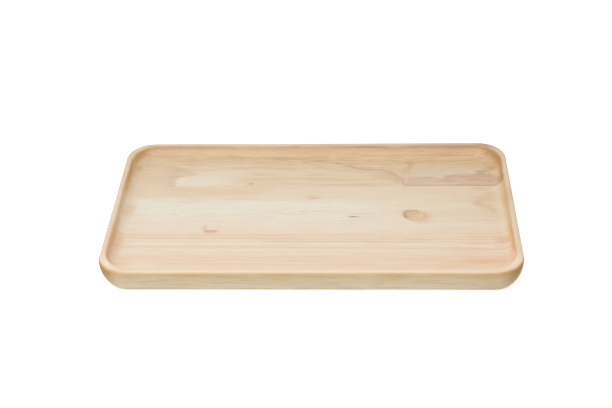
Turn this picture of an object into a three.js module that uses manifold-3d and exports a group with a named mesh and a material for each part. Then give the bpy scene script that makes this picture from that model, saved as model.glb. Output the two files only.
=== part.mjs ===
// A rectangular wooden serving plate. Three staves are glued edge to edge into one blank, and the blank
// is then routed and sanded to shape: a coved dish, a softly rounded rim, and sides that curve in below
// the rim to a smaller flat base.
// Millimetres. X runs along the grain, Y towards the rear, and Z up from the table under the base.

import * as THREE from "three";
import { mergeVertices } from "three/addons/utils/BufferGeometryUtils.js";
import Module from "manifold-3d";

// The blank: the staves from rear to front, and the cured adhesive between two of them
const LENGTH = 300;
const REAR_STAVE_WIDTH = 48;
const MIDDLE_STAVE_WIDTH = 62.6;
const FRONT_STAVE_WIDTH = 59;
const GLUE_THICKNESS = 0.2;

// The dish and the floor under it
const DISH_DEPTH = 10;
const FLOOR_THICKNESS = 10;
const COVE_RADIUS = 8;

// The rim, from the inside of the plate to the outside
const RIM_INNER_ROUND = 1.5;
const RIM_FLAT = 1;
const RIM_OUTER_ROUND = 2;

// The plan corners: of the outside at its widest, of the rim's crest, and of the dish at its wall.
// They do not share a centre, so the rim is wider at the corners than along the sides.
const CORNER_RADIUS = 20;
const CREST_CORNER_RADIUS = 21;
const DISH_CORNER_RADIUS = 22;

// The outside: the upright land under the rim, and the foot that the sides curve in to
const LAND_HEIGHT = 1;
const FOOT_INSET = 7;
const FOOT_EASE = 1;

// The least plan radius that a corner keeps where the outline has shrunk past its own radius
const LEAST_CORNER_RADIUS = 0.5;

// Facets along each arc of the section, and round each plan corner
const SECTION_ARC_FACETS = 8;
const CORNER_FACETS = 16;

const height = FLOOR_THICKNESS + DISH_DEPTH;
const width = REAR_STAVE_WIDTH + GLUE_THICKNESS + MIDDLE_STAVE_WIDTH + GLUE_THICKNESS + FRONT_STAVE_WIDTH;
const rimWidth = RIM_OUTER_ROUND + RIM_FLAT + RIM_INNER_ROUND;
const coveRadius = Math.min(COVE_RADIUS, DISH_DEPTH - RIM_INNER_ROUND);

// The saw lines between neighbours, as places along Y
const rearGlueRear = width / 2 - REAR_STAVE_WIDTH;
const rearGlueFront = rearGlueRear - GLUE_THICKNESS;
const frontGlueFront = FRONT_STAVE_WIDTH - width / 2;
const frontGlueRear = frontGlueFront + GLUE_THICKNESS;

const wasm = await Module();
wasm.setup();

// The outside's section, from the edge of the base up to the land.
// Its x is the distance in from the widest outline and its y is the height, as in the other sections.
// An arc of a path is drawn with twice the divisions asked for.
function sideSection() {
  const bilgeHeight = height - RIM_OUTER_ROUND - LAND_HEIGHT;
  const bilgeRadius = (bilgeHeight ** 2 + FOOT_INSET ** 2) / (2 * FOOT_INSET);
  const easeReach = Math.sqrt((bilgeRadius - FOOT_EASE) ** 2 - (bilgeHeight - FOOT_EASE) ** 2);
  const easeAngle = Math.atan2(FOOT_EASE - bilgeHeight, -easeReach);
  const section = new THREE.Path();
  section.absarc(bilgeRadius - easeReach, FOOT_EASE, FOOT_EASE, -Math.PI / 2, easeAngle, true);
  section.absarc(bilgeRadius, bilgeHeight, bilgeRadius, easeAngle, -Math.PI, true);
  return withoutDoubles(section.getPoints(SECTION_ARC_FACETS / 2));
}

// The rim's section, from the land up to the outer edge of the crest.
function rimSection() {
  const section = new THREE.Path();
  section.absarc(RIM_OUTER_ROUND, height - RIM_OUTER_ROUND, RIM_OUTER_ROUND, Math.PI, Math.PI / 2, true);
  return section.getPoints(SECTION_ARC_FACETS / 2);
}

// The dish's section, from the inner edge of the crest down to the floor.
function dishSection() {
  const crestEnd = RIM_OUTER_ROUND + RIM_FLAT;
  const coveHeight = FLOOR_THICKNESS + coveRadius;
  const section = new THREE.Path();
  section.absarc(crestEnd, height - RIM_INNER_ROUND, RIM_INNER_ROUND, Math.PI / 2, 0, true);
  section.absarc(rimWidth + coveRadius, coveHeight, coveRadius, Math.PI, 1.5 * Math.PI, false);
  return withoutDoubles(section.getPoints(SECTION_ARC_FACETS / 2));
}

// All levels of the plate, from the edge of the base over the rim to the floor, each with its own corners.
function plateLevels() {
  const crestEase = (CREST_CORNER_RADIUS - CORNER_RADIUS) / RIM_OUTER_ROUND;
  const level = (point, radius) => ({ inset: point.x, height: point.y, radius });
  return [
    ...sideSection().map((point) => level(point, CORNER_RADIUS - point.x)),
    ...rimSection().map((point) => level(point, CORNER_RADIUS + crestEase * point.x)),
    ...dishSection().map((point) => level(point, DISH_CORNER_RADIUS + rimWidth - point.x)),
  ];
}

// Where an arc ends on the next one, only one of the two points is kept.
function withoutDoubles(points) {
  const sameSpot = 1e-6;
  return points.filter((point, i) => i === 0 || point.distanceTo(points[i - 1]) > sameSpot);
}

// The plate's outline at one level: a rectangle with round corners, counter-clockwise.
function outlinePoints({ inset, radius: wanted }) {
  const radius = Math.max(wanted, LEAST_CORNER_RADIUS);
  const cornerX = LENGTH / 2 - inset - radius;
  const cornerY = width / 2 - inset - radius;
  const outline = new THREE.Path();
  outline.absarc(cornerX, cornerY, radius, 0, 0.5 * Math.PI, false);
  outline.absarc(-cornerX, cornerY, radius, 0.5 * Math.PI, Math.PI, false);
  outline.absarc(-cornerX, -cornerY, radius, Math.PI, 1.5 * Math.PI, false);
  outline.absarc(cornerX, -cornerY, radius, 1.5 * Math.PI, 2 * Math.PI, false);
  return withoutDoubles(outline.getPoints(CORNER_FACETS / 2));
}

// The shaped blank: one outline for each level, skinned into a closed body.
function shapedBlank() {
  const levels = plateLevels();
  const rings = levels.map(outlinePoints);
  const perRing = rings[0].length;
  const positions = [];
  rings.forEach((ring, i) => {
    ring.forEach((point) => positions.push(point.x, point.y, levels[i].height));
  });
  const baseCentre = rings.length * perRing;
  const floorCentre = baseCentre + 1;
  positions.push(0, 0, 0);
  positions.push(0, 0, FLOOR_THICKNESS);

  const triangles = [];
  const lastRing = (rings.length - 1) * perRing;
  for (let i = 0; i < perRing; i += 1) {
    const next = (i + 1) % perRing;
    for (let start = 0; start < lastRing; start += perRing) {
      const above = start + perRing;
      triangles.push(start + i, start + next, above + i);
      triangles.push(start + next, above + next, above + i);
    }
    triangles.push(baseCentre, next, i);
    triangles.push(floorCentre, lastRing + i, lastRing + next);
  }

  const geometry = new THREE.BufferGeometry();
  geometry.setAttribute("position", new THREE.Float32BufferAttribute(positions, 3));
  geometry.setIndex(triangles);
  return geometry;
}

function solidFrom(geometry) {
  const merged = mergeVertices(geometry);
  const vertProperties = Float32Array.from(merged.attributes.position.array);
  const triVerts = Uint32Array.from(merged.index.array);
  return new wasm.Manifold(new wasm.Mesh({ numProp: 3, vertProperties, triVerts }));
}

function geometryFrom(solid) {
  const { vertProperties, triVerts } = solid.getMesh();
  const geometry = new THREE.BufferGeometry();
  geometry.setAttribute("position", new THREE.BufferAttribute(vertProperties, 3));
  geometry.setIndex(new THREE.BufferAttribute(triVerts, 1));
  geometry.computeVertexNormals();
  return geometry;
}

const blank = solidFrom(shapedBlank());

// One piece of the plate: the slice of the shaped blank between two saw lines.
function slice(name, frontLine, rearLine, finish) {
  const ahead = blank.trimByPlane([0, 1, 0], frontLine);
  const piece = ahead.trimByPlane([0, -1, 0], -rearLine);
  const mesh = new THREE.Mesh(geometryFrom(piece), new THREE.MeshStandardMaterial(finish));
  mesh.name = name;
  return mesh;
}

const tanWood = { color: 0xdcc3a3, roughness: 0.55, metalness: 0 };
const creamWood = { color: 0xe6d8c0, roughness: 0.55, metalness: 0 };
const pinkWood = { color: 0xead4ba, roughness: 0.55, metalness: 0 };
const curedGlue = { color: 0xc59a63, roughness: 0.4, metalness: 0 };

const plate = new THREE.Group();
plate.add(slice("rear_stave", rearGlueRear, width / 2, tanWood));
plate.add(slice("rear_glue_line", rearGlueFront, rearGlueRear, curedGlue));
plate.add(slice("middle_stave", frontGlueRear, rearGlueFront, creamWood));
plate.add(slice("front_glue_line", frontGlueFront, frontGlueRear, curedGlue));
plate.add(slice("front_stave", -width / 2, frontGlueFront, pinkWood));

export default plate;
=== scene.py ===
import math
from types import SimpleNamespace

import bpy
from mathutils import Matrix, Vector


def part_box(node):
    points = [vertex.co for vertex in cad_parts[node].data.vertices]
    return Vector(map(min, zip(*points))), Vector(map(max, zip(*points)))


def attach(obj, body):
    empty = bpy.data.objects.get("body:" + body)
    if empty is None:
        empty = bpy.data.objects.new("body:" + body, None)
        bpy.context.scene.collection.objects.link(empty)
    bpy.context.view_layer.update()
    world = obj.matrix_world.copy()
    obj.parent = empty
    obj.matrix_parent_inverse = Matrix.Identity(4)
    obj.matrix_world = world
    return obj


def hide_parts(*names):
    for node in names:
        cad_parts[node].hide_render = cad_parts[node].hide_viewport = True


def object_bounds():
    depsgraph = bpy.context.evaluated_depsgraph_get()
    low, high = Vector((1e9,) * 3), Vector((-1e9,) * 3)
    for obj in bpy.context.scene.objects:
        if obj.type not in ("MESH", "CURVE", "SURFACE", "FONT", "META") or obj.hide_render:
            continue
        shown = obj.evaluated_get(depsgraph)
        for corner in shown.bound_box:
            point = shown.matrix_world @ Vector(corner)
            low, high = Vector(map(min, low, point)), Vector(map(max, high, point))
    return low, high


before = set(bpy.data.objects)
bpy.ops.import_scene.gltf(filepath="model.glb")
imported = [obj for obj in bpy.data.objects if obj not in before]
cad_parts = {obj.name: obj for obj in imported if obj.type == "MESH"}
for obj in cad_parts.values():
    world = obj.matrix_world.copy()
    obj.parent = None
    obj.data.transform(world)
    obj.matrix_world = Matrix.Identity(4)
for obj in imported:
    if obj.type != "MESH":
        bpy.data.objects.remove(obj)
cad_low, cad_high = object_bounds()

# The shaped blank. Three boards are glued edge to edge, and the blank that they make is routed and sanded
# in one go, so every piece of the plate is a slice of one body: levels stacked from the flat base, out and
# up over the rim and down to the flat floor of the dish, each a rectangle with round corners.
PLATE_LENGTH = cad_high.x - cad_low.x
PLATE_WIDTH = cad_high.y - cad_low.y
PLATE_HEIGHT = cad_high.z - cad_low.z
CORNER_RADIUS = 0.020
CREST_CORNER_RADIUS = 0.021
DISH_CORNER_RADIUS = 0.022
FLOOR_HEIGHT = 0.010
COVE_RADIUS = 0.008
RIM_INNER_ROUND = 0.0015
RIM_FLAT = 0.001
RIM_OUTER_ROUND = 0.002
LAND_HEIGHT = 0.001
FOOT_INSET = 0.007
FOOT_EASE = 0.001
ARC_POINTS = 14
CORNER_POINTS = 28
SAW_OVERRUN = 0.005
KEPT_LENGTHS = 1.2
KEPT_HEIGHTS = 4.0
SAME_SPOT = 1e-6
SHARP_EDGE = math.radians(40)


def arc(centre_x, centre_y, radius, start, end, points):
    """Points on an arc, from the start angle to the end angle in degrees."""
    angles = [math.radians(start + (end - start) * i / (points - 1)) for i in range(points)]
    return [(centre_x + radius * math.cos(a), centre_y + radius * math.sin(a)) for a in angles]


def plate_levels():
    """The levels from the edge of the base over the rim to the floor of the dish: how far in from the widest
    outline each one lies, its height, and the radius of its corners. The rim is wider at the corners, because
    the outside, the crest and the dish turn with radii that share no centre."""
    bilge_height = PLATE_HEIGHT - RIM_OUTER_ROUND - LAND_HEIGHT
    bilge_radius = (bilge_height**2 + FOOT_INSET**2) / (2 * FOOT_INSET)
    ease_reach = math.sqrt((bilge_radius - FOOT_EASE) ** 2 - (bilge_height - FOOT_EASE) ** 2)
    ease_angle = math.degrees(math.atan2(FOOT_EASE - bilge_height, -ease_reach))
    side = arc(bilge_radius - ease_reach, FOOT_EASE, FOOT_EASE, -90, ease_angle, ARC_POINTS // 2)
    side += arc(bilge_radius, bilge_height, bilge_radius, ease_angle, -180, ARC_POINTS)[1:]
    rim = arc(RIM_OUTER_ROUND, PLATE_HEIGHT - RIM_OUTER_ROUND, RIM_OUTER_ROUND, 180, 90, ARC_POINTS)
    crest_end = RIM_OUTER_ROUND + RIM_FLAT
    rim_width = crest_end + RIM_INNER_ROUND
    dish = arc(crest_end, PLATE_HEIGHT - RIM_INNER_ROUND, RIM_INNER_ROUND, 90, 0, ARC_POINTS)
    dish += arc(rim_width + COVE_RADIUS, FLOOR_HEIGHT + COVE_RADIUS, COVE_RADIUS, 180, 270, ARC_POINTS)
    crest_ease = (CREST_CORNER_RADIUS - CORNER_RADIUS) / RIM_OUTER_ROUND
    levels = [(inset, height, CORNER_RADIUS - inset) for inset, height in side]
    levels += [(inset, height, CORNER_RADIUS + crest_ease * inset) for inset, height in rim]
    return levels + [(inset, height, DISH_CORNER_RADIUS + rim_width - inset) for inset, height in dish]


def level_curve():
    """The levels as the points of a curve: inset, height and corner radius in place of X, Y and Z."""
    levels = plate_levels()
    curve = bpy.data.curves.new("plate_levels", "CURVE")
    curve.dimensions = "3D"
    spline = curve.splines.new("POLY")
    spline.points.add(len(levels) - 1)
    for point, level in zip(spline.points, levels):
        point.co = (*level, 1)
    made = bpy.data.objects.new("plate_levels", curve)
    bpy.context.scene.collection.objects.link(made)
    return made


def add_node(tree, kind, settings=None, **inputs):
    """One node, with its settings, and its sockets set to a value or linked to another node's output.
    A socket is named with _ for a space, or by its number after a _."""
    made = tree.nodes.new(kind)
    for name, value in (settings or {}).items():
        setattr(made, name, value)
    for name, value in inputs.items():
        socket = made.inputs[int(name[1:]) if name[0] == "_" else name.replace("_", " ")]
        if isinstance(value, bpy.types.NodeSocket):
            tree.links.new(value, socket)
        else:
            socket.default_value = value
    return made


def calc(tree, operation, *values):
    """One step of arithmetic on numbers or sockets."""
    sockets = {f"_{i}": value for i, value in enumerate(values)}
    return add_node(tree, "ShaderNodeMath", {"operation": operation}, **sockets).outputs[0]


def vector(tree, operation, first, second=None):
    """One step of arithmetic on one or two vectors, or on a vector and a number where it is scaled."""
    made = add_node(tree, "ShaderNodeVectorMath", {"operation": operation}, _0=first)
    socket = made.inputs["Scale"] if operation == "SCALE" else made.inputs[1]
    if isinstance(second, bpy.types.NodeSocket):
        tree.links.new(second, socket)
    elif second is not None:
        socket.default_value = second
    return made.outputs["Value" if operation == "LENGTH" else "Vector"]


def with_place(tree, curve):
    """A curve whose points carry their place along, for use after the sweep."""
    held = tree.nodes.new("GeometryNodeCaptureAttribute")
    held.capture_items.new("VECTOR", "Place")
    tree.links.new(curve, held.inputs["Geometry"])
    tree.links.new(add_node(tree, "GeometryNodeInputPosition").outputs[0], held.inputs["Place"])
    return held.outputs


def swept_sides(tree, given):
    """The levels swept round the outline, each point then moved to where its level's own corner puts it."""
    outline = add_node(
        tree, "GeometryNodeCurvePrimitiveQuadrilateral", {"mode": "RECTANGLE"},
        Width=given["Length"], Height=given["Width"],
    )
    rounded = add_node(
        tree, "GeometryNodeFilletCurve", {"mode": "POLY"},
        Curve=outline.outputs[0], Count=given["Corner Points"], Radius=given["Corner Radius"],
    )
    round_plate = with_place(tree, rounded.outputs[0])
    levels = add_node(tree, "GeometryNodeObjectInfo", Object=given["Levels"])
    across_rim = with_place(tree, levels.outputs["Geometry"])
    swept = add_node(
        tree, "GeometryNodeCurveToMesh", Curve=round_plate["Geometry"], Profile_Curve=across_rim["Geometry"],
    )
    half = add_node(
        tree, "ShaderNodeCombineXYZ",
        X=calc(tree, "MULTIPLY", given["Length"], 0.5), Y=calc(tree, "MULTIPLY", given["Width"], 0.5),
    ).outputs[0]
    corner = vector(tree, "SIGN", round_plate["Place"])
    core = vector(tree, "MULTIPLY", corner, vector(tree, "SUBTRACT", half, given["Corner Radius"]))
    spoke = vector(tree, "SUBTRACT", round_plate["Place"], core)
    facing = vector(tree, "SCALE", spoke, calc(tree, "DIVIDE", 1.0, given["Corner Radius"]))
    inset, height, radius = add_node(tree, "ShaderNodeSeparateXYZ", Vector=across_rim["Place"]).outputs
    core_reach = vector(tree, "SUBTRACT", half, calc(tree, "ADD", inset, radius))
    own_core = vector(tree, "MULTIPLY", corner, core_reach)
    lift = add_node(tree, "ShaderNodeCombineXYZ", Z=height).outputs[0]
    at_level = vector(tree, "ADD", own_core, lift)
    moved = add_node(
        tree, "GeometryNodeSetPosition", Geometry=swept.outputs[0],
        Position=vector(tree, "ADD", at_level, vector(tree, "SCALE", facing, radius)),
    )
    return add_node(tree, "GeometryNodeFlipFaces", Mesh=moved.outputs[0])


def slice_tree():
    """Geometry nodes that shape the blank and cut one slice out of it between two saw lines."""
    tree = bpy.data.node_groups.new("plate_slice", "GeometryNodeTree")
    tree.is_modifier = True
    sizes = ["Length", "Width", "Height", "Floor Height", "Corner Radius", "Front Line", "Rear Line"]
    for name in sizes:
        tree.interface.new_socket(name, in_out="INPUT", socket_type="NodeSocketFloat")
    tree.interface.new_socket("Corner Points", in_out="INPUT", socket_type="NodeSocketInt")
    tree.interface.new_socket("Levels", in_out="INPUT", socket_type="NodeSocketObject")
    tree.interface.new_socket("Finish", in_out="INPUT", socket_type="NodeSocketMaterial")
    tree.interface.new_socket("Geometry", in_out="OUTPUT", socket_type="NodeSocketGeometry")
    given = tree.nodes.new("NodeGroupInput").outputs
    sides = swept_sides(tree, given)

    # The two open loops of the swept sides are filled: the base and the floor of the dish.
    beside = add_node(tree, "GeometryNodeInputMeshEdgeNeighbors")
    is_open = add_node(
        tree, "FunctionNodeCompare", {"data_type": "INT", "operation": "EQUAL"}, _2=beside.outputs[0], _3=1,
    )
    place = add_node(tree, "GeometryNodeInputPosition")
    level = add_node(tree, "ShaderNodeSeparateXYZ", Vector=place.outputs[0])
    is_high = add_node(
        tree, "FunctionNodeCompare", {"operation": "GREATER_THAN"},
        _0=level.outputs["Z"], _1=calc(tree, "MULTIPLY", given["Floor Height"], 0.5),
    )
    is_low = add_node(tree, "FunctionNodeBooleanMath", {"operation": "NOT"}, _0=is_high.outputs[0])
    caps = []
    for level_mask in (is_low, is_high):
        edge = add_node(
            tree, "FunctionNodeBooleanMath", {"operation": "AND"},
            _0=is_open.outputs[0], _1=level_mask.outputs[0],
        )
        loop = add_node(tree, "GeometryNodeMeshToCurve", Mesh=sides.outputs[0], Selection=edge.outputs[0])
        caps.append(add_node(tree, "GeometryNodeFillCurve", {"mode": "NGONS"}, Curve=loop.outputs[0]))
    base = add_node(tree, "GeometryNodeFlipFaces", Mesh=caps[0].outputs[0])
    lift = add_node(tree, "ShaderNodeCombineXYZ", Z=given["Floor Height"])
    floor = add_node(
        tree, "GeometryNodeTransform", Geometry=caps[1].outputs[0], Translation=lift.outputs[0],
    )
    joined = add_node(tree, "GeometryNodeJoinGeometry")
    for part in (sides, base, floor):
        tree.links.new(part.outputs[0], joined.inputs[0])
    blank = add_node(tree, "GeometryNodeMergeByDistance", Geometry=joined.outputs[0], Distance=SAME_SPOT)

    # The saw keeps what lies between the two lines, in a block that is longer and higher than the plate.
    kept_size = add_node(
        tree, "ShaderNodeCombineXYZ",
        X=calc(tree, "MULTIPLY", given["Length"], KEPT_LENGTHS),
        Y=calc(tree, "SUBTRACT", given["Rear Line"], given["Front Line"]),
        Z=calc(tree, "MULTIPLY", given["Height"], KEPT_HEIGHTS),
    )
    both_lines = calc(tree, "ADD", given["Rear Line"], given["Front Line"])
    kept_place = add_node(tree, "ShaderNodeCombineXYZ", Y=calc(tree, "MULTIPLY", both_lines, 0.5))
    block = add_node(tree, "GeometryNodeMeshCube", Size=kept_size.outputs[0])
    kept = add_node(
        tree, "GeometryNodeTransform", Geometry=block.outputs[0], Translation=kept_place.outputs[0],
    )
    sawn = add_node(tree, "GeometryNodeMeshBoolean", {"operation": "INTERSECT", "solver": "EXACT"})
    for part in (blank, kept):
        tree.links.new(part.outputs[0], sawn.inputs["Mesh 2"])
    whole = add_node(tree, "GeometryNodeRealizeInstances", Geometry=sawn.outputs["Mesh"])
    smooth = add_node(tree, "GeometryNodeSetShadeSmooth", Geometry=whole.outputs[0])
    finished = add_node(
        tree, "GeometryNodeSetMaterial", Geometry=smooth.outputs[0], Material=given["Finish"],
    )
    result = tree.nodes.new("NodeGroupOutput")
    tree.links.new(finished.outputs[0], result.inputs[0])
    return tree


level_guide = level_curve()
plate_slice = slice_tree()


def cut_piece(node, name, finish):
    """The slice of the blank that stands for one CAD node, as a plain mesh that rides on the plate."""
    low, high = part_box(node)
    at_front = abs(low.y - cad_low.y) < SAME_SPOT
    at_rear = abs(high.y - cad_high.y) < SAME_SPOT
    values = {
        "Length": PLATE_LENGTH,
        "Width": PLATE_WIDTH,
        "Height": PLATE_HEIGHT,
        "Floor Height": FLOOR_HEIGHT,
        "Corner Radius": CORNER_RADIUS,
        "Corner Points": CORNER_POINTS,
        "Front Line": low.y - SAW_OVERRUN if at_front else low.y,
        "Rear Line": high.y + SAW_OVERRUN if at_rear else high.y,
        "Levels": level_guide,
        "Finish": finish,
    }
    piece = bpy.data.objects.new(name, bpy.data.meshes.new(name))
    bpy.context.scene.collection.objects.link(piece)
    saw = piece.modifiers.new("saw", "NODES")
    saw.node_group = plate_slice
    for socket in plate_slice.interface.items_tree:
        if socket.in_out == "INPUT":
            saw[socket.identifier] = values[socket.name]
    seen = piece.evaluated_get(bpy.context.evaluated_depsgraph_get())
    mesh = bpy.data.meshes.new_from_object(seen)
    piece.modifiers.remove(saw)
    piece.data = mesh
    mesh.name = name
    mesh.set_sharp_from_angle(angle=SHARP_EDGE)
    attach(piece, "root")
    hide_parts(node)
    return piece


# The rear stave: a tan board sawn close to the face of its growth rings, so that one dark ring wanders
# across the floor of the dish, runs down to the joint and spreads there into a broad mauve streak.
# Sanded along the grain and wiped with a clear satin oil. Glued to the middle stave along its front edge.
MM = 1000.0
HALF_LENGTH_MM = PLATE_LENGTH / 2 * MM
HALF_WIDTH_MM = PLATE_WIDTH / 2 * MM
CORNER_MM = CORNER_RADIUS * MM
FLOOR_MM = FLOOR_HEIGHT * MM
RIM_MM = PLATE_HEIGHT * MM
RIM_FLAT_END_MM = (RIM_OUTER_ROUND + RIM_FLAT) * MM
BOARD_SHIFT_MM = (211.0, 47.0, 31.0)
GRAIN_SWING_MM = (0.0, 9.0, 9.0)
SOFT_CORE = 0.15
FLECK_FRAY = 0.9
PORE_DEPTH = 0.00004
THREAD_DEPTH = 0.00001
OIL_SPECULAR = 0.3


def srgb(red, green, blue):
    """A colour written as 0 to 255 on a screen, as the linear colour that a shader takes."""
    parts = [c / 255 for c in (red, green, blue)]
    return tuple(c / 12.92 if c <= 0.04045 else ((c + 0.055) / 1.055) ** 2.4 for c in parts) + (1,)


def step(tree, value, low, high, to_low=0.0, to_high=1.0):
    """A smooth step: to_low where the value is below low, to_high where it is above high."""
    made = add_node(
        tree, "ShaderNodeMapRange", {"interpolation_type": "SMOOTHSTEP"},
        _0=value, _1=low, _2=high, _3=to_low, _4=to_high,
    )
    return made.outputs[0]


def band(tree, value, low, start, end, high):
    """1 between start and end, and smoothly 0 below low and above high."""
    return calc(tree, "MULTIPLY", step(tree, value, low, start), step(tree, value, end, high, 1.0, 0.0))


def near(tree, value, middle, reach):
    """1 where the value is at the middle, and smoothly 0 from reach away on."""
    away = calc(tree, "ABSOLUTE", calc(tree, "SUBTRACT", value, middle))
    return step(tree, calc(tree, "DIVIDE", away, reach), SOFT_CORE, 1.0, 1.0, 0.0)


def of_all(tree, *shares):
    """The product of several shares."""
    product = shares[0]
    for share in shares[1:]:
        product = calc(tree, "MULTIPLY", product, share)
    return product


def tint(tree, share, under, over, mode="MIX"):
    """The under colour with a share of the over colour on it. A Mix node's colours are sockets 6 and 7."""
    made = add_node(
        tree, "ShaderNodeMix", {"data_type": "RGBA", "blend_type": mode}, _0=share, _6=under, _7=over,
    )
    return made.outputs[2]


def noise(tree, position, lump, detail=2.0, roughness=0.5, output="Fac"):
    """Noise around 0.5 whose lumps measure about lump, in millimetres along X, Y and Z."""
    made = add_node(
        tree, "ShaderNodeTexNoise", {"noise_dimensions": "3D"},
        Vector=vector(tree, "DIVIDE", position, lump), Scale=1.0, Detail=detail, Roughness=roughness,
    )
    return made.outputs[output]


def swayed(tree, value, by, amount):
    """The value, moved up and down by a noise around 0.5."""
    return calc(tree, "MULTIPLY_ADD", calc(tree, "SUBTRACT", by, 0.5), amount, value)


def shader_group(name, inputs, outputs):
    """An empty shader node group with named sockets, what it is given, and where its results are put."""
    tree = bpy.data.node_groups.new(name, "ShaderNodeTree")
    for socket, kind in inputs.items():
        tree.interface.new_socket(socket, in_out="INPUT", socket_type="NodeSocket" + kind)
    for socket, kind in outputs.items():
        tree.interface.new_socket(socket, in_out="OUTPUT", socket_type="NodeSocket" + kind)
    return tree, tree.nodes.new("NodeGroupInput").outputs, tree.nodes.new("NodeGroupOutput").inputs


def placed(tree, group, **inputs):
    """What a shader node group puts out, where it is placed in a tree with its own values."""
    return add_node(tree, "ShaderNodeGroup", {"node_tree": group}, **inputs).outputs


def fibre_group():
    """What runs along the grain of every board: bands, streaks, dashes, fine threads, mottle and pores."""
    tree, given, put = shader_group(
        "wood_fibre", {"Position": "Vector", "Board": "Float"},
        dict.fromkeys(("Band", "Streak", "Dash", "Thread", "Mottle", "Pore"), "Float"),
    )
    shift = vector(tree, "SCALE", BOARD_SHIFT_MM, given["Board"])
    own = vector(tree, "ADD", given["Position"], shift)
    swing = vector(tree, "SUBTRACT", noise(tree, own, (90, 26, 26), 1.0, output="Color"), (0.5, 0.5, 0.5))
    along = vector(tree, "ADD", own, vector(tree, "MULTIPLY", swing, GRAIN_SWING_MM))
    for layer, lump, detail, roughness in (
        ("Band", (170, 7, 7), 2.0, 0.5),
        ("Streak", (48, 1.9, 1.9), 3.0, 0.6),
        ("Dash", (20, 1.1, 1.1), 2.0, 0.55),
        ("Thread", (14, 0.55, 0.55), 2.0, 0.5),
        ("Mottle", (26, 9, 9), 3.0, 0.55),
    ):
        tree.links.new(noise(tree, along, lump, detail, roughness), put[layer])

    # One pore in each long cell of the wood, from next to nothing up to a fifth of the cell.
    cells = add_node(
        tree, "ShaderNodeTexVoronoi", {"feature": "F1"},
        Vector=vector(tree, "DIVIDE", along, (14, 0.9, 0.9)), Scale=1.0,
    )
    chance = add_node(tree, "ShaderNodeSeparateColor", Color=cells.outputs["Color"]).outputs[0]
    pore_size = step(tree, chance, 0.3, 1.0, 0.02, 0.2)
    inside = calc(tree, "SUBTRACT", 1.0, calc(tree, "DIVIDE", cells.outputs["Distance"], pore_size))
    tree.links.new(step(tree, inside, 0.0, 0.5), put["Pore"])
    return tree


def from_centre(tree, given):
    """How far a point lies from a mark's centre along and across the grain, counted in the mark's reaches."""
    away = vector(tree, "SUBTRACT", given["Position"], given["Centre"])
    return vector(tree, "MULTIPLY", vector(tree, "DIVIDE", away, given["Reach"]), (1.0, 1.0, 0.0))


def fleck_group():
    """A soft patch of other colour in the wood: an oval at a centre, with an edge frayed along the grain."""
    tree, given, put = shader_group(
        "wood_fleck", {"Position": "Vector", "Centre": "Vector", "Reach": "Vector", "Fray": "Float"},
        {"Mask": "Float"},
    )
    distance = vector(tree, "LENGTH", from_centre(tree, given))
    rough = noise(tree, given["Position"], (12, 2.0, 6), 3.0, 0.6)
    frayed = swayed(tree, distance, rough, given["Fray"])
    tree.links.new(step(tree, frayed, SOFT_CORE, 1.1, 1.0, 0.0), put["Mask"])
    return tree


def wall_group():
    """The sides of the plate: the outer wall below the rim, the rim's outer edge, its crest, and the wall of
    the dish. They are told apart by height and by how far in from the widest outline they lie."""
    tree, given, put = shader_group(
        "plate_walls", {"Position": "Vector"}, dict.fromkeys(("Outer", "Edge", "Crest", "Inner"), "Float"),
    )

    # How far in from the widest outline a point lies, measured towards the middle of each round corner too.
    core = (HALF_LENGTH_MM - CORNER_MM, HALF_WIDTH_MM - CORNER_MM, 0.0)
    folded = vector(tree, "MULTIPLY", vector(tree, "ABSOLUTE", given["Position"]), (1.0, 1.0, 0.0))
    past_core = vector(tree, "SUBTRACT", folded, core)
    corner_reach = vector(tree, "LENGTH", vector(tree, "MAXIMUM", past_core, (0.0, 0.0, 0.0)))
    sides = add_node(tree, "ShaderNodeSeparateXYZ", Vector=past_core).outputs
    in_core = calc(tree, "MINIMUM", calc(tree, "MAXIMUM", sides["X"], sides["Y"]), 0.0)
    inset = calc(tree, "SUBTRACT", CORNER_MM, calc(tree, "ADD", corner_reach, in_core))

    # The four masks, each a millimetre or two soft at its ends.
    height = add_node(tree, "ShaderNodeSeparateXYZ", Vector=given["Position"]).outputs["Z"]
    under_floor = step(tree, height, FLOOR_MM, FLOOR_MM - 1.0)
    under_rim = step(tree, height, RIM_MM - 0.2, RIM_MM - 1.2)
    near_outline = step(tree, inset, RIM_FLAT_END_MM, RIM_FLAT_END_MM - 1.0)
    outside = calc(tree, "MAXIMUM", under_floor, near_outline)
    tree.links.new(calc(tree, "MULTIPLY", outside, under_rim), put["Outer"])
    rounded = band(tree, height, RIM_MM - 2.4, RIM_MM - 1.4, RIM_MM - 0.4, RIM_MM)
    tree.links.new(calc(tree, "MULTIPLY", near_outline, rounded), put["Edge"])
    tree.links.new(step(tree, height, RIM_MM - 0.8, RIM_MM - 0.1), put["Crest"])
    above_floor = step(tree, height, FLOOR_MM, FLOOR_MM + 1.0)
    past_rim = step(tree, inset, RIM_FLAT_END_MM, RIM_FLAT_END_MM + 1.0)
    tree.links.new(calc(tree, "MULTIPLY", above_floor, past_rim), put["Inner"])
    return tree


wood_fibre = fibre_group()
wood_fleck = fleck_group()
plate_walls = wall_group()


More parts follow.
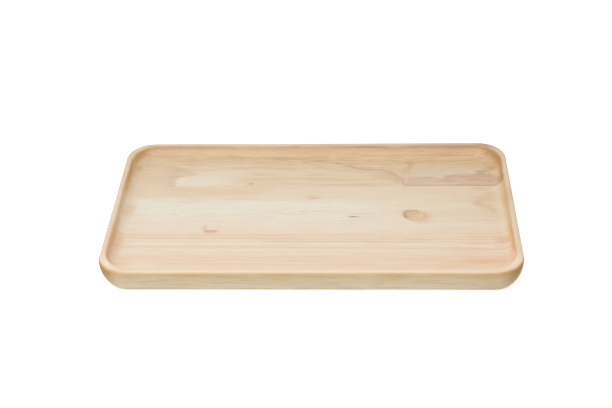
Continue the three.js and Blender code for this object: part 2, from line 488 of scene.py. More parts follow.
def new_board(name, number, lean):
    """A board's material, with its fibre and the place of its figure in millimetres. Growth rings lean
    through the board, so the figure on the walls and the base is shifted across from that on the floor."""
    material = bpy.data.materials.new(name)
    material.use_nodes = True
    tree = material.node_tree
    place = add_node(tree, "ShaderNodeTexCoord")
    position = vector(tree, "SCALE", place.outputs["Object"], MM)
    fibre = placed(tree, wood_fibre, Position=position, Board=number)
    walls = placed(tree, plate_walls, Position=position)
    axes = add_node(tree, "ShaderNodeSeparateXYZ", Vector=position).outputs
    y = calc(tree, "MULTIPLY_ADD", calc(tree, "SUBTRACT", axes["Z"], FLOOR_MM), lean, axes["Y"])
    figure = add_node(tree, "ShaderNodeCombineXYZ", X=axes["X"], Y=y, Z=axes["Z"]).outputs[0]
    return SimpleNamespace(
        material=material, tree=tree, number=number, fibre=fibre, walls=walls,
        position=position, facing=place.outputs["Normal"], figure=figure, x=axes["X"], y=y, z=axes["Z"],
    )


def with_flecks(board, colour, flecks):
    """The colour with patches on it. Each has its centre and its reach in millimetres along and across the
    grain, its own colour, and the share of it that shows at the centre."""
    for centre, reach, paint, share in flecks:
        mask = placed(
            board.tree, wood_fleck,
            Position=board.figure, Centre=(*centre, 0), Reach=(*reach, 1), Fray=FLECK_FRAY,
        )["Mask"]
        colour = tint(board.tree, calc(board.tree, "MULTIPLY", mask, share), colour, paint)
    return colour


def curve_through(tree, value, points, span, low, high):
    """A smooth line through a few points in millimetres, read at a value that runs from -span to span. All of
    the line lies between low and high."""
    made = tree.nodes.new("ShaderNodeFloatCurve")
    line = made.mapping.curves[0]
    while len(line.points) < len(points):
        line.points.new(0.5, 0.5)
    for point, (at, result) in zip(line.points, points):
        point.location = ((at + span) / (2 * span), (result - low) / (high - low))
    made.mapping.update()
    tree.links.new(calc(tree, "MULTIPLY_ADD", value, 0.5 / span, 0.5), made.inputs["Value"])
    return calc(tree, "MULTIPLY_ADD", made.outputs[0], high - low, low)


def finish_group():
    """What cutting, sanding and oiling do to every board, with painted light: its threads and pores show, the
    crest of the rim is paler with a painted highlight, the oil sinks in deeper below it and in the end grain,
    the outer walls that face sideways carry painted shade, and the inner end walls are browned, partly by the
    cutter and partly with painted shade.
    Wall Brown also runs over the rim's inner edge, by the share Over Edge."""
    tree, given, put = shader_group(
        "wood_finish",
        {
            "Position": "Vector", "Figure": "Vector", "Facing": "Vector", "Board": "Float", "Colour": "Color",
            "Thread": "Float", "Wall Brown": "Color", "Over Edge": "Float",
        },
        {"Colour": "Color", "Roughness": "Float", "Relief": "Float"},
    )
    fibre = placed(tree, wood_fibre, Position=given["Position"], Board=given["Board"])
    walls = placed(tree, plate_walls, Position=given["Position"])
    x, y, z = add_node(tree, "ShaderNodeSeparateXYZ", Vector=given["Figure"]).outputs
    facing = add_node(tree, "ShaderNodeSeparateXYZ", Vector=given["Facing"])
    sideways = calc(tree, "ABSOLUTE", facing.outputs["X"])
    end_grain = step(tree, sideways, 0.3, 0.95)
    end_oil, side_oil = (0.98, 0.91, 0.80, 1), (0.95, 0.83, 0.64, 1)
    painted_shade_low, painted_shade_high = (0.84, 0.79, 0.68, 1), (0.63, 0.54, 0.37, 1)
    pore_brown = srgb(164, 118, 72)

    # The fibre shows: threads a little darker and lighter than the wood, brown pores, and warmer end grain.
    thread_dark = calc(tree, "SUBTRACT", 1.0, given["Thread"])
    thread_light = calc(tree, "ADD", 1.0, given["Thread"])
    threads = step(tree, fibre["Thread"], 0.25, 0.75, thread_dark, thread_light)
    colour = tint(tree, 1.0, given["Colour"], threads, "MULTIPLY")
    colour = tint(tree, calc(tree, "MULTIPLY", fibre["Pore"], 0.25), colour, pore_brown)
    colour = tint(tree, end_grain, colour, end_oil, "MULTIPLY")

    # The crest of the rim: a painted highlight, palest along the front, and greyer along the ends and the
    # rear, as painted shade.
    to_end = calc(tree, "ABSOLUTE", x)
    along_end = calc(tree, "MULTIPLY", step(tree, to_end, 136, 146), step(tree, y, -70, -48))
    crest = tint(tree, along_end, srgb(240, 224, 202), srgb(222, 200, 172))
    front_corner = calc(tree, "MULTIPLY", step(tree, to_end, 112, 134), step(tree, y, -73, -80))
    crest = tint(tree, front_corner, crest, srgb(234, 206, 166))
    rear = tint(tree, step(tree, x, 60, 110), srgb(218, 199, 174), srgb(196, 176, 152))
    rear = tint(tree, band(tree, x, -80, -55, -35, 0), rear, srgb(238, 224, 204))
    rear = tint(tree, step(tree, x, 122, 136), rear, srgb(166, 138, 108))
    crest = tint(tree, step(tree, y, 76, 84), crest, rear)
    colour = tint(tree, calc(tree, "MULTIPLY", walls["Crest"], 0.5), colour, crest)

    # The oil: a golden edge just below the crest, most of all in front and round the front corners.
    uneven = step(tree, fibre["Mottle"], 0.36, 0.62, 0.45, 0.9)
    oiled = of_all(tree, walls["Outer"], step(tree, z, RIM_MM - 6.5, RIM_MM - 2.5), uneven)
    colour = tint(tree, oiled, colour, side_oil, "MULTIPLY")
    golden = of_all(
        tree, walls["Edge"], calc(tree, "MAXIMUM", uneven, front_corner),
        step(tree, sideways, 0.0, 0.3, 0.5, 1.0), step(tree, y, -64, -76, 0.1, 1.0),
    )
    gold = tint(tree, step(tree, x, 80, 130), srgb(215, 173, 117), srgb(200, 160, 106))
    colour = tint(tree, golden, colour, gold)
    # Painted shade on the outer walls that face sideways: deepest high up and lightest at the foot.
    sideways_shade = calc(tree, "MULTIPLY", walls["Outer"], step(tree, sideways, 0.1, 0.75))
    painted_shade_tone = tint(tree, step(tree, z, 4, 15), painted_shade_low, painted_shade_high)
    colour = tint(tree, sideways_shade, colour, painted_shade_tone, "MULTIPLY")

    # The brown halfway up the inner end walls and over the edge where the board asks for it: partly the
    # cutter's brown, partly painted shade.
    halfway = band(tree, z, FLOOR_MM + 2, FLOOR_MM + 5, RIM_MM - 3.5, RIM_MM - 1)
    blotchy = step(tree, fibre["Mottle"], 0.38, 0.6, 0.65, 1.0)
    browned = of_all(tree, end_grain, walls["Inner"], halfway, blotchy)
    colour = tint(tree, browned, colour, given["Wall Brown"])
    at_edge = band(tree, z, RIM_MM - 3, RIM_MM - 2, RIM_MM - 0.12, RIM_MM)
    over_edge = of_all(tree, walls["Inner"], at_edge, given["Over Edge"])
    colour = tint(tree, over_edge, colour, given["Wall Brown"])

    # Gloss and relief follow the fibre: streaks take up the oil unevenly, and the pores lie a little sunk.
    tree.links.new(colour, put["Colour"])
    tree.links.new(step(tree, fibre["Streak"], 0.3, 0.7, 0.5, 0.66), put["Roughness"])
    sunk = calc(tree, "MULTIPLY", fibre["Pore"], -PORE_DEPTH)
    tree.links.new(calc(tree, "MULTIPLY_ADD", fibre["Thread"], THREAD_DEPTH, sunk), put["Relief"])
    return tree


wood_finish = finish_group()


def finish_wood(board, colour, thread, wall_brown, over_edge):
    """The finished material of a board: its own colour under the shared finish, with the gloss of the oil."""
    tree = board.tree
    shader = tree.nodes["Principled BSDF"]
    finish = placed(
        tree, wood_finish,
        Position=board.position, Figure=board.figure, Facing=board.facing, Board=board.number,
        Colour=colour, Thread=thread, Wall_Brown=wall_brown, Over_Edge=over_edge,
    )
    tree.links.new(finish["Colour"], shader.inputs["Base Color"])
    tree.links.new(finish["Roughness"], shader.inputs["Roughness"])
    shader.inputs["Specular IOR Level"].default_value = OIL_SPECULAR
    bump = add_node(tree, "ShaderNodeBump", Strength=1.0, Distance=1.0, Height=finish["Relief"])
    tree.links.new(bump.outputs[0], shader.inputs["Normal"])
    return board.material


def tan_wood():
    """The rear board's wood: tan, with its dark ring, the pointed heart at the left and the mauve streak."""
    board = new_board("tan_wood", number=1, lean=0.5)
    tree, fibre, x, y = board.tree, board.fibre, board.x, board.y
    sand, tan, honey = srgb(227, 208, 180), srgb(221, 198, 165), srgb(210, 171, 123)
    pale, mauve, rust = srgb(231, 219, 201), srgb(211, 184, 158), srgb(204, 168, 140)
    umber, amber, peach = srgb(182, 146, 116), srgb(196, 152, 104), srgb(237, 205, 166)
    ragged = noise(tree, board.figure, (13, 4, 8), 4.0, 0.62)
    wavy = swayed(tree, y, ragged, 8.0)
    dashed = step(tree, fibre["Dash"], 0.46, 0.7)
    patchy = step(tree, fibre["Mottle"], 0.34, 0.62, 0.4, 1.0)
    streaky = step(tree, fibre["Streak"], 0.34, 0.62, 0.35, 1.0)

    # Bands of sand and tan with honey streaks, and more of the tan to the right.
    colour = tint(tree, step(tree, fibre["Band"], 0.38, 0.62), sand, tan)
    colour = tint(tree, step(tree, fibre["Streak"], 0.36, 0.64, 0.0, 0.17), colour, honey)
    colour = tint(tree, step(tree, x, -20, 120, 0.0, 0.35), colour, tan)

    # Behind the ring the wood is darker and more streaked, most of all towards the right.
    behind = step(tree, y, 64, 76)
    colour = tint(tree, calc(tree, "MULTIPLY", behind, streaky), colour, tan)
    colour = tint(tree, of_all(tree, behind, step(tree, fibre["Streak"], 0.46, 0.64), 0.55), colour, honey)
    at_right = of_all(tree, step(tree, y, 60, 70), step(tree, x, 50, 100), streaky, 0.23)
    colour = tint(tree, at_right, colour, amber)
    colour = tint(tree, of_all(tree, dashed, step(tree, y, 52, 70, 0.15, 0.5)), colour, amber)

    # The ring: a golden line along the foot of the back wall at the left, which runs down to the joint at
    # the right. The wood just in front of it is mauve.
    ring_line = [
        (-150, 78), (-90, 77.2), (-60, 76.6), (-30, 75.7), (-12, 74.8), (0, 73.2), (16, 70),
        (22, 67.4), (28, 65.4), (36, 61.6), (48, 59.8), (55, 59.2), (58, 57), (62, 53.5),
        (66, 49.5), (69, 44), (71, 37), (80, 34), (150, 32),
    ]
    ring_y = curve_through(tree, x, ring_line, HALF_LENGTH_MM, low=30, high=90)
    past_ring = calc(tree, "SUBTRACT", wavy, ring_y)
    under_ring = of_all(tree, band(tree, past_ring, -9, -2, -0.5, 1.0), step(tree, x, 10, 40), patchy, 0.5)
    colour = tint(tree, under_ring, colour, mauve)
    soft_reach = calc(tree, "ADD", step(tree, x, -20, 30, 3.4, 2.2), step(tree, x, 50, 62, 0.0, 2.8))
    soft_ring = of_all(tree, near(tree, past_ring, 0.0, soft_reach), patchy, 0.6)
    ring_brown = tint(tree, step(tree, x, -20, 30), honey, srgb(204, 166, 131))
    colour = tint(tree, soft_ring, colour, ring_brown)
    golden = of_all(tree, near(tree, past_ring, 0.0, 1.6), band(tree, x, -84, -66, -24, -4), patchy, 0.55)
    colour = tint(tree, golden, colour, amber)

    # The pointed heart at the left end, a little rosier, and the pale tongue that starts at its edge.
    heart_end = [
        (30, -110), (38, -108.5), (46, -108.5), (51, -104), (54.5, -96), (60, -103),
        (67, -112), (73, -123), (85, -140),
    ]
    heart_x = curve_through(tree, wavy, heart_end, HALF_WIDTH_MM, low=-150, high=-90)
    past_heart = calc(tree, "SUBTRACT", swayed(tree, x, ragged, 5.0), heart_x)
    colour = with_flecks(board, colour, (
        ((-84, 44), (34, 12), pale, 0.9),
        ((-74, 55), (30, 8), pale, 0.55),
    ))
    tongue = of_all(tree, band(tree, past_heart, -0.5, 1.2, 5, 20), band(tree, y, 33, 37, 49, 54), 0.75)
    colour = tint(tree, tongue, colour, pale)
    heart = of_all(tree, step(tree, past_heart, -5, 1.0, 1.0, 0.0), step(tree, past_heart, -34, -8, 0.1, 0.4))
    colour = tint(tree, calc(tree, "MULTIPLY", heart, patchy), colour, mauve)
    colour = with_flecks(board, colour, (
        ((-110, 57), (11, 7), mauve, 0.55),
        ((-114, 64.5), (7, 2.6), rust, 0.5),
        ((-108, 61.8), (6, 2.8), rust, 0.6),
        ((-102.5, 58.4), (5, 2.8), mauve, 0.95),
        ((-97, 54.6), (6, 2.6), mauve, 0.85),
        ((-108, 51.2), (9, 1.7), rust, 0.6),
        ((-112.5, 43), (4.5, 9), mauve, 0.65),
        ((-131, 57), (12, 4), sand, 0.4),
        ((-131, 38.2), (20, 3), sand, 0.7),
    ))

    # The streak along the joint at the right end, frayed along the grain, and the pale field above it.
    streak_top = [
        (50, 30), (69, 32), (74, 49.5), (90, 49.5), (98, 47), (104, 51.5), (118, 52.5),
        (127, 53.5), (131, 56), (137, 53), (143, 48), (148, 33),
    ]
    frayed = swayed(tree, swayed(tree, y, fibre["Streak"], 13.0), ragged, 10.0)
    top_y = curve_through(tree, x, streak_top, HALF_LENGTH_MM, low=20, high=80)
    past_top = calc(tree, "SUBTRACT", frayed, top_y)
    field = of_all(tree, band(tree, x, 72, 77, 120, 136), band(tree, wavy, 43, 49, 59, 66), 0.65)
    colour = tint(tree, field, colour, srgb(213, 197, 173))
    fibrous = step(tree, streaky, 0.3, 0.9, 0.5, 1.0)
    streak = of_all(tree, step(tree, x, 67, 75), step(tree, past_top, -2.5, 2.0, 1.0, 0.0), fibrous)
    colour = tint(tree, streak, colour, tint(tree, step(tree, x, 90, 112, 0.0, 0.8), mauve, rust))
    top_edge = of_all(tree, band(tree, past_top, -4.5, -1.5, -0.5, 1.6), patchy, 0.3)
    colour = tint(tree, of_all(tree, band(tree, x, 96, 102, 138, 144), top_edge), colour, umber)
    under_joint = step(tree, y, 37.0, 39.4, 1.0, 0.0)
    further_right = calc(tree, "MULTIPLY", band(tree, x, 104, 116, 133, 140), 1.6)
    at_joint = calc(tree, "ADD", band(tree, x, 70, 76, 94, 100), further_right)
    colour = tint(tree, of_all(tree, under_joint, at_joint, patchy, 0.33), colour, umber)
    colour = with_flecks(board, colour, (
        ((88, 41), (8, 2.2), sand, 0.35),
        ((100.5, 40.6), (7, 2.2), sand, 0.4),
        ((113, 44.5), (7, 5), pale, 0.2),
        ((125, 42), (7, 2.4), sand, 0.15),
        ((87, 48.4), (12, 2), umber, 0.25),
        ((101, 45.5), (6, 4), rust, 0.4),
        ((103, 51.5), (6, 2), umber, 0.2),
        ((113.5, 51), (6, 2.4), umber, 0.2),
        ((124, 47.5), (9, 3.8), rust, 0.6),
        ((129, 57.6), (4.4, 2.3), umber, 0.7),
        ((134, 58.4), (4.4, 2.5), umber, 0.65),
        ((127.5, 53.2), (6, 1.5), umber, 0.45),
        ((137, 53.5), (3, 4), rust, 0.65),
        ((144.5, 43), (3, 9), umber, 0.35),
    ))

    # The upright smear at the foot of the ring, orange above and browner below.
    off_smear = swayed(tree, x, ragged, 6.0)
    smear = of_all(tree, near(tree, off_smear, 75.0, 4.6), band(tree, y, 59, 63, 71, 77), 0.4)
    colour = tint(tree, smear, colour, amber)
    colour = with_flecks(board, colour, (
        ((70.5, 56), (5.5, 9), umber, 0.25),
        ((69.5, 44), (2.6, 7), rust, 0.5),
        ((64, 45), (5, 7), mauve, 0.8),
        ((75, 45), (4, 5), mauve, 0.95),
        ((74.3, 57), (1.2, 6), mauve, 0.85),
    ))

    # Small marks on the rest of the board: short streaks on the floor, spots along the ring, lines on the
    # back wall, and browner patches at both rear corners.
    colour = with_flecks(board, colour, (
        ((-41, 53.5), (17, 2.2), honey, 0.5),
        ((3, 52.4), (17, 1.5), honey, 0.5),
        ((0, 59.8), (14, 4.2), pale, 0.2),
        ((-49.5, 40.6), (3.4, 2.6), umber, 0.55),
        ((19, 69.4), (4, 1.6), umber, 0.55),
        ((26, 66), (7, 1.4), rust, 0.6),
        ((47, 59.8), (12, 1.8), rust, 0.6),
        ((2, 73), (9, 2), amber, 0.35),
        ((-106, 72.8), (28, 1.7), amber, 0.35),
        ((-36, 70), (30, 2), honey, 0.35),
        ((115, 68), (28, 2), honey, 0.5),
        ((112, 82.3), (40, 1.6), rust, 0.2),
        ((-96, 82.3), (54, 1.7), pale, 0.15),
        ((98, 79.0), (30, 1.5), amber, 0.6),
        ((20, 38.6), (42, 2.4), mauve, 0.45),
        ((55, 52), (15, 7), rust, 0.35),
        ((140, 62), (6, 7), amber, 0.55),
        ((139, 68), (8, 5), amber, 0.3),
        ((106, 80.6), (18, 1.6), amber, 0.75),
        ((61, 78.8), (20, 1.7), amber, 0.3),
        ((-141, 61.5), (5, 7), amber, 0.45),
        ((-19, 40.9), (17, 2.4), rust, 0.3),
        ((-80, 65.5), (15, 2.6), rust, 0.2),
        ((-83, 82.8), (22, 1.6), sand, 0.5),
        ((104, 70.3), (17, 2.0), pale, 0.15),
        ((108.5, 40.4), (6, 2.6), pale, 0.3),
    ))

    # The board is a little paler to the left. The back wall is warmer, with a line of painted shade just
    # below the rim.
    colour = tint(tree, step(tree, x, 20, -60, 0.03, 0.15), colour, pale)
    colour = tint(tree, of_all(tree, band(tree, y, 78, 81, 83.5, 85), 0.4), colour, peach)
    shaded = calc(tree, "SUBTRACT", 1.0, band(tree, x, -90, -50, 0, 40))
    colour = tint(tree, of_all(tree, near(tree, y, 85.3, 1.8), patchy, shaded, 0.42), colour, amber)

    # The brown on the inner end walls, partly the cutter's and partly painted shade, is deeper at the right
    # end, and runs over the edge of the rim at both rear corners.
    wall_brown = tint(tree, step(tree, x, -10, 10), srgb(206, 163, 106), srgb(193, 151, 106))
    to_end = calc(tree, "ABSOLUTE", x)
    corner_start = step(tree, x, -10, 10, 69, 48)
    corner_full = calc(tree, "ADD", corner_start, 7.0)
    over_edge = of_all(tree, step(tree, to_end, 122, 136), step(tree, y, corner_start, corner_full), 0.72)
    return finish_wood(board, colour, thread=0.04, wall_brown=wall_brown, over_edge=over_edge)


cut_piece("rear_stave", "rear_stave_wood", tan_wood())


# The rear glue line: the film of wood adhesive between the rear and the middle stave. It was pressed thin
# when the boards were clamped, cured to an amber line, and was routed and sanded flush with the wood.
def cured_glue():
    """Cured adhesive: cloudy amber, a little glossier than the wood, and darker on the outside with painted
    shade, as on the wood's outer end walls.
    """
    material = bpy.data.materials.new("cured_glue")
    material.use_nodes = True
    tree = material.node_tree
    shader = tree.nodes["Principled BSDF"]
    place = add_node(tree, "ShaderNodeTexCoord")
    position = vector(tree, "SCALE", place.outputs["Object"], MM)
    walls = placed(tree, plate_walls, Position=position)
    amber, pale, outer_painted_shade = srgb(200, 164, 122), srgb(224, 198, 164), (0.62, 0.54, 0.4, 1)
    cloud = noise(tree, position, (9, 4, 4), 3.0)
    colour = tint(tree, step(tree, cloud, 0.3, 0.7), amber, pale)
    colour = tint(tree, walls["Outer"], colour, outer_painted_shade, "MULTIPLY")
    tree.links.new(colour, shader.inputs["Base Color"])
    tree.links.new(step(tree, cloud, 0.3, 0.7, 0.32, 0.45), shader.inputs["Roughness"])
    return material


glue = cured_glue()
cut_piece("rear_glue_line", "rear_glue_film", glue)


# The middle stave: a pale cream board of straight, quiet grain, with an oval knot at the right where a
# branch grew through it, and a small pin knot at the left. Glued to its neighbours along both edges.
def knot_group():
    """A branch cut across: its heart with one ring in it, the dark bark round it, which is thicker at the
    left, and the stain that it has left in the wood at its right."""
    tree, given, put = shader_group(
        "wood_knot", {"Position": "Vector", "Centre": "Vector", "Reach": "Vector"},
        dict.fromkeys(("Heart", "Ring", "Bark", "Stain"), "Float"),
    )
    away = from_centre(tree, given)
    rough = noise(tree, given["Position"], (4.0, 2.4, 5.0), 3.0, 0.6)
    uneven = swayed(tree, vector(tree, "LENGTH", away), rough, 0.35)
    sides = add_node(tree, "ShaderNodeSeparateXYZ", Vector=away).outputs
    tree.links.new(step(tree, uneven, 0.6, 1.0, 1.0, 0.0), put["Heart"])
    off_centre = calc(tree, "MULTIPLY_ADD", sides["X"], 0.35, uneven)
    off_centre = calc(tree, "MULTIPLY_ADD", sides["Y"], -0.4, off_centre)
    tree.links.new(near(tree, off_centre, 0.5, 0.2), put["Ring"])
    thick = step(tree, sides["X"], -0.8, 0.8, 0.25, 0.13)
    at_left = step(tree, sides["X"], -1.0, 0.1, 1.0, 0.45)
    above = step(tree, sides["Y"], -0.9, -0.2, 0.6, 1.0)
    tree.links.new(of_all(tree, near(tree, uneven, 0.9, thick), at_left, above), put["Bark"])
    to_right = calc(tree, "SUBTRACT", sides["X"], sides["Y"])
    stain = calc(tree, "MULTIPLY_ADD", to_right, -0.3, uneven)
    tree.links.new(step(tree, stain, 0.6, 1.3, 1.0, 0.0), put["Stain"])
    return tree


wood_knot = knot_group()


def with_knot(board, colour, centre, reach, heart, ring, bark, stain):
    """The colour with a knot in it. Centre and reach are in millimetres along and across the grain."""
    tree = board.tree
    masks = placed(
        tree, wood_knot, Position=board.figure, Centre=(*centre, 0), Reach=(*reach, 1),
    )
    for mark, share, paint in (
        ("Stain", 0.6, stain),
        ("Heart", 0.75, heart),
        ("Ring", 0.4, ring),
        ("Bark", 0.68, bark),
    ):
        colour = tint(tree, calc(tree, "MULTIPLY", masks[mark], share), colour, paint)
    return colour


def cream_wood():
    """The middle board's wood: quiet cream, with a knot, a pin knot and spots at the right end."""
    board = new_board("cream_wood", number=2, lean=0.3)
    tree, fibre, x, y = board.tree, board.fibre, board.x, board.y
    cream, pale, tan = srgb(230, 214, 191), srgb(231, 224, 208), srgb(223, 199, 168)
    rosy, blush, rust = srgb(232, 218, 199), srgb(226, 184, 152), srgb(212, 176, 142)
    amber, olive, umber = srgb(212, 168, 122), srgb(200, 174, 122), srgb(132, 96, 68)
    wavy = swayed(tree, y, fibre["Mottle"], 16.0)

    # Rosy in front, palest along the middle, and tan along the rear joint and to the right.
    colour = tint(tree, step(tree, wavy, 2, -10), cream, rosy)
    palest = of_all(tree, band(tree, wavy, -14, 2, 14, 24), step(tree, x, 10, 70, 1.0, 0.15))
    colour = tint(tree, palest, colour, pale)
    rear_strip = of_all(tree, step(tree, wavy, 11, 31), step(tree, fibre["Mottle"], 0.3, 0.65, 0.3, 0.62))
    colour = tint(tree, of_all(tree, rear_strip, step(tree, x, -50, -20, 1.0, 0.55)), colour, tan)
    right_end = of_all(tree, step(tree, x, 40, 125), step(tree, fibre["Band"], 0.35, 0.65, 0.2, 0.65))
    colour = tint(tree, right_end, colour, tan)
    colour = tint(tree, step(tree, fibre["Streak"], 0.48, 0.68, 0.0, 0.4), colour, tan)

    # A blush along the front joint, and one thin line along the middle.
    front_strip = of_all(tree, step(tree, wavy, -20, -28), step(tree, fibre["Mottle"], 0.35, 0.6, 0.1, 0.28))
    colour = tint(tree, front_strip, colour, blush)
    thin_line = near(tree, calc(tree, "MULTIPLY_ADD", x, -0.012, wavy), 0.5, 1.4)
    colour = tint(tree, of_all(tree, thin_line, step(tree, x, 50, 0), 0.35), colour, tan)

    # Spots and browner wood at the right end, and a few small marks on the rest of the board.
    colour = with_flecks(board, colour, (
        ((130, 17), (15, 17), amber, 0.2),
        ((125, 13.5), (7, 4.4), rust, 0.55),
        ((129, 19.5), (8, 5.5), rust, 0.35),
        ((134, 25.5), (7, 5.5), amber, 0.25),
        ((131.5, 9), (7, 4.4), rust, 0.45),
        ((135.5, 4.5), (4.5, 5), rust, 0.4),
        ((133, 15.5), (5, 2.6), cream, 0.15),
        ((130, -8), (15, 8), amber, 0.1),
        ((146, 14), (4, 14), amber, 0.7),
        ((147.6, 14), (2.6, 14), rust, 0.85),
        ((128, 33.4), (10, 4), rust, 0.45),
        ((-139.5, 5), (6, 15), tan, 0.8),
        ((-1.5, 22.5), (10, 4.5), tan, 0.8),
        ((0.8, 20.6), (5.5, 1.6), rust, 0.55),
        ((-97, 31), (28, 5), tan, 0.7),
        ((-62, 31), (16, 5), tan, 0.6),
        ((36, -4.2), (15, 1.6), umber, 0.1),
        ((30.5, -3.8), (5.5, 0.9), umber, 0.85),
        ((-80, -18.5), (3.4, 6.5), blush, 0.55),
        ((-70, -17.5), (3, 6), blush, 0.25),
        ((-78, -26), (3, 4), blush, 0.45),
    ))

    # The knot, olive in its heart, and the pin knot.
    colour = with_knot(
        board, colour, centre=(76.4, -2), reach=(8.6, 6.6), heart=srgb(226, 199, 162),
        ring=srgb(184, 150, 110), bark=srgb(178, 140, 100), stain=srgb(221, 182, 148),
    )
    colour = with_flecks(board, colour, (
        ((74.0, 0.2), (5.2, 4.2), olive, 0.5),
        ((80.0, -3.2), (3.6, 4.0), tan, 0.8),
        ((70.4, -3.6), (2.4, 2.0), umber, 0.25),
        ((83.6, -4.2), (4.6, 8.5), blush, 0.25),
    ))
    colour = with_knot(
        board, colour, centre=(-74.6, -22.3), reach=(5.0, 1.8), heart=srgb(220, 176, 132),
        ring=srgb(206, 152, 108), bark=srgb(212, 162, 118), stain=srgb(228, 198, 164),
    )

    # The brown on the inner end walls, partly the cutter's and partly painted shade, is deeper towards the
    # joints.
    wall_brown = tint(tree, step(tree, y, -8, -28), srgb(220, 187, 147), srgb(221, 180, 134))
    rear_left = of_all(tree, step(tree, x, 0, -10), step(tree, y, 16, 32))
    wall_brown = tint(tree, rear_left, wall_brown, srgb(213, 172, 121))
    over_edge = step(tree, y, -10, 5, 0.1, 0.5)
    return finish_wood(board, colour, thread=0.02, wall_brown=wall_brown, over_edge=over_edge)


cut_piece("middle_stave", "middle_stave_wood", cream_wood())


# The front glue line: a film of the same adhesive between the middle and the front stave, pressed thin, cured
# and sanded flush like the rear one.
cut_piece("front_glue_line", "front_glue_film", glue)


# The front stave: a board of straight grain with its rings on edge, so that the floor is striped pink and
# cream, and its outer face is a quiet cream. Glued to the middle stave along its rear edge.
def pink_wood():
    """The front board's wood: pink and cream stripes in the dish, and a quiet cream face outside."""
    board = new_board("pink_wood", number=3, lean=0.2)
    tree, fibre, x, y = board.tree, board.fibre, board.x, board.y
    pink, cream, rose = srgb(232, 207, 181), srgb(234, 217, 194), srgb(226, 192, 166)
    purple, warm = srgb(208, 170, 152), srgb(232, 198, 166)
    chalk, rust = srgb(237, 227, 214), srgb(222, 182, 144)

    # The fine stripes, which waver and lean a little along the board. The wood is warmer in front and to the
    # right, and creamier along the middle.
    across = calc(tree, "MULTIPLY_ADD", x, 0.008, swayed(tree, y, fibre["Mottle"], 2.5))
    stripes = add_node(
        tree, "ShaderNodeTexNoise", {"noise_dimensions": "1D"},
        W=across, Scale=0.34, Detail=3.0, Roughness=0.6,
    ).outputs[0]
    colour = tint(tree, step(tree, stripes, 0.38, 0.62), cream, pink)
    to_front = of_all(tree, step(tree, y, -44, -60), step(tree, fibre["Streak"], 0.38, 0.62), 0.55)
    colour = tint(tree, to_front, colour, srgb(234, 203, 176))
    creamy = of_all(tree, near(tree, across, -47.5, 6.5), step(tree, fibre["Mottle"], 0.36, 0.6), 0.35)
    colour = tint(tree, creamy, colour, chalk)
    to_right = of_all(tree, step(tree, x, 20, 130), step(tree, y, -36, -58))
    streaky = step(tree, fibre["Streak"], 0.34, 0.6, 0.3, 0.8)
    colour = tint(tree, of_all(tree, to_right, streaky), colour, warm)

    # The stripes that stand out, broken along the grain, with one purple line near the joint.
    broken = calc(
        tree, "MULTIPLY",
        step(tree, fibre["Streak"], 0.36, 0.56, 0.15, 1.0), step(tree, fibre["Mottle"], 0.36, 0.56, 0.3, 1.0),
    )
    for at, reach, paint, share in (
        (-29, 3.6, warm, 0.35),
        (-37.8, 2.8, chalk, 0.65),
        (-31.6, 1.6, rose, 0.75),
        (-42.2, 0.8, rose, 0.7),
        (-47.4, 0.7, rose, 0.35),
        (-52.5, 0.9, rose, 0.5),
        (-57.6, 0.9, rose, 0.55),
        (-62.0, 0.9, rose, 0.5),
        (-66.5, 1.0, rose, 0.5),
    ):
        colour = tint(tree, of_all(tree, near(tree, across, at, reach), broken, share), colour, paint)
    dark_line = of_all(tree, near(tree, across, -34.4, 1.0), step(tree, x, -70, 10), broken, 0.75)
    colour = tint(tree, dark_line, colour, purple)

    # Rusty patches at both ends and chalky ones at the left. The front wall of the dish is paler.
    colour = with_flecks(board, colour, (
        ((122, -58), (22, 4), rust, 0.6),
        ((113, -46.5), (24, 6), rust, 0.25),
        ((124, -28), (18, 5), rust, 0.25),
        ((120, -37.4), (16, 3), rust, 0.45),
        ((139, -34), (9, 8), rust, 0.55),
        ((-110, -37.5), (40, 2.5), chalk, 0.55),
        ((-122, -64), (22, 5), chalk, 0.45),
        ((-142, -39), (6, 15), rust, 0.45),
    ))
    colour = tint(tree, step(tree, y, -60, -74, 0.0, 0.7), colour, srgb(239, 219, 195))

    # The face outside: paler towards the foot, as painted light from the table below, and browner at the
    # right, as painted shade, with short brown dashes.
    face = tint(tree, step(tree, board.z, 13, 3), srgb(218, 200, 170), srgb(234, 221, 196))
    face = tint(tree, step(tree, fibre["Streak"], 0.4, 0.66, 0.0, 0.5), face, srgb(208, 186, 150))
    face = tint(tree, step(tree, fibre["Dash"], 0.5, 0.7, 0.0, 0.55), face, srgb(198, 168, 124))
    face = tint(tree, step(tree, x, 90, 150, 0.0, 0.6), face, srgb(200, 172, 132))
    face_start = step(tree, board.z, 0.1, 1.5, -70, -58)
    face_full = calc(tree, "SUBTRACT", face_start, 10.0)
    outer_face = of_all(tree, board.walls["Outer"], step(tree, y, face_start, face_full))
    colour = tint(tree, outer_face, colour, face)

    # The brown on the inner end walls, partly the cutter's and partly painted shade, is paler at the front
    # corners, and runs over the edge at the left end.
    corner_start = step(tree, x, -10, 10, -57, -46)
    corner_full = calc(tree, "SUBTRACT", corner_start, 11.0)
    at_corner = step(tree, y, corner_start, corner_full)
    wall_brown = tint(tree, at_corner, srgb(220, 176, 129), srgb(234, 205, 178))
    over_edge = step(tree, x, 10, -10, 0.0, 0.35)
    return finish_wood(board, colour, thread=0.03, wall_brown=wall_brown, over_edge=over_edge)


cut_piece("front_stave", "front_stave_wood", pink_wood())
bpy.data.objects.remove(level_guide)


# The studio: a white table that keeps the plate's soft shadow, an even white surround, and one wide lamp
# high at the left, a little in front.
TABLE_SIZE = 6.0
TABLE_DROP = 0.0001
TABLE_ALBEDO = 0.92
TABLE_GLOW = 0.5
SURROUND_LEVEL = 0.76
LAMP_PLACE = Vector((-0.45, -0.45, 1.15))
LAMP_SIZE = 1.2
LAMP_WATTS = 5.5


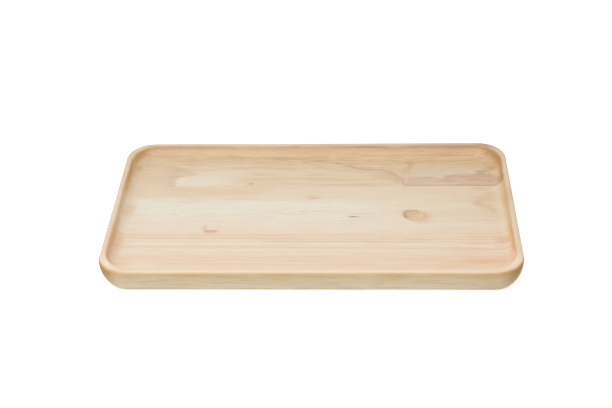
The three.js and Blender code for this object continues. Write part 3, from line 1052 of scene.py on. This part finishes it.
def seen_white(tree):
    """1 for the rays that show the surround as it is seen, straight on, mirrored or through glass."""
    ray = add_node(tree, "ShaderNodeLightPath").outputs
    straight_or_mirrored = calc(tree, "MAXIMUM", ray["Is Camera Ray"], ray["Is Glossy Ray"])
    return calc(tree, "MAXIMUM", straight_or_mirrored, ray["Is Transmission Ray"])


def table_finish():
    """Matt white paint that glows just enough, to the eye alone, for the table to be white in the picture."""
    material = bpy.data.materials.new("table_white")
    material.use_nodes = True
    tree = material.node_tree
    tree.nodes.clear()
    paint = add_node(tree, "ShaderNodeBsdfDiffuse", Color=(TABLE_ALBEDO, TABLE_ALBEDO, TABLE_ALBEDO, 1))
    level = calc(tree, "MULTIPLY", seen_white(tree), TABLE_GLOW)
    glow = add_node(tree, "ShaderNodeEmission", Color=(1, 1, 1, 1), Strength=level)
    both = add_node(tree, "ShaderNodeAddShader", _0=paint.outputs[0], _1=glow.outputs[0])
    add_node(tree, "ShaderNodeOutputMaterial", Surface=both.outputs[0])
    return material


table_mesh = bpy.data.meshes.new("table_top")
half = TABLE_SIZE / 2
corners = [(x, y, -TABLE_DROP) for x, y in ((-half, -half), (half, -half), (half, half), (-half, half))]
table_mesh.from_pydata(corners, [], [(0, 1, 2, 3)])
table_mesh.materials.append(table_finish())
table_top = bpy.data.objects.new("table_top", table_mesh)
scene = bpy.context.scene
scene.collection.objects.link(table_top)

scene.view_settings.view_transform = "Standard"
scene.world = bpy.data.worlds.new("studio")
scene.world.use_nodes = True
surround = scene.world.node_tree
surround.nodes.clear()
surround_level = step(surround, seen_white(surround), 0.0, 1.0, SURROUND_LEVEL, 1.0)
white = add_node(surround, "ShaderNodeBackground", Color=(1, 1, 1, 1), Strength=surround_level)
add_node(surround, "ShaderNodeOutputWorld", Surface=white.outputs[0])

lamp = bpy.data.objects.new("softbox", bpy.data.lights.new("softbox", "AREA"))
lamp.data.shape = "DISK"
lamp.data.size = LAMP_SIZE
lamp.data.energy = LAMP_WATTS
lamp.location = LAMP_PLACE
lamp.rotation_euler = LAMP_PLACE.to_track_quat("Z", "Y").to_euler()
scene.collection.objects.link(lamp)

# The camera stands where the photograph was taken from: in front of the plate, a little to the right, looking
# down on it. Its place, turn and lens were fitted to the plate's outline.
IMAGE_WIDTH = 612
FOCAL_PIXELS = 1224.9
CAMERA_DISTANCE = 0.95047
CAMERA_AIM = Vector((-0.00640, 0.02725, 0))
CAMERA_PITCH = math.radians(34.864)
CAMERA_TURN = math.radians(3.023)
CAMERA_ROLL = math.radians(-1.825)
SENSOR_WIDTH_MM = 36
camera = bpy.data.objects.new("camera", bpy.data.cameras.new("camera"))
scene.collection.objects.link(camera)
camera.data.sensor_width = SENSOR_WIDTH_MM
camera.data.lens = FOCAL_PIXELS / IMAGE_WIDTH * SENSOR_WIDTH_MM
turn = Matrix.Rotation(CAMERA_TURN, 4, "Z") @ Matrix.Rotation(math.pi / 2 - CAMERA_PITCH, 4, "X")
turn = turn @ Matrix.Rotation(CAMERA_ROLL, 4, "Z")
back_off = turn @ Vector((0, 0, CAMERA_DISTANCE))
camera.matrix_world = Matrix.Translation(CAMERA_AIM + back_off) @ turn
scene.camera = camera
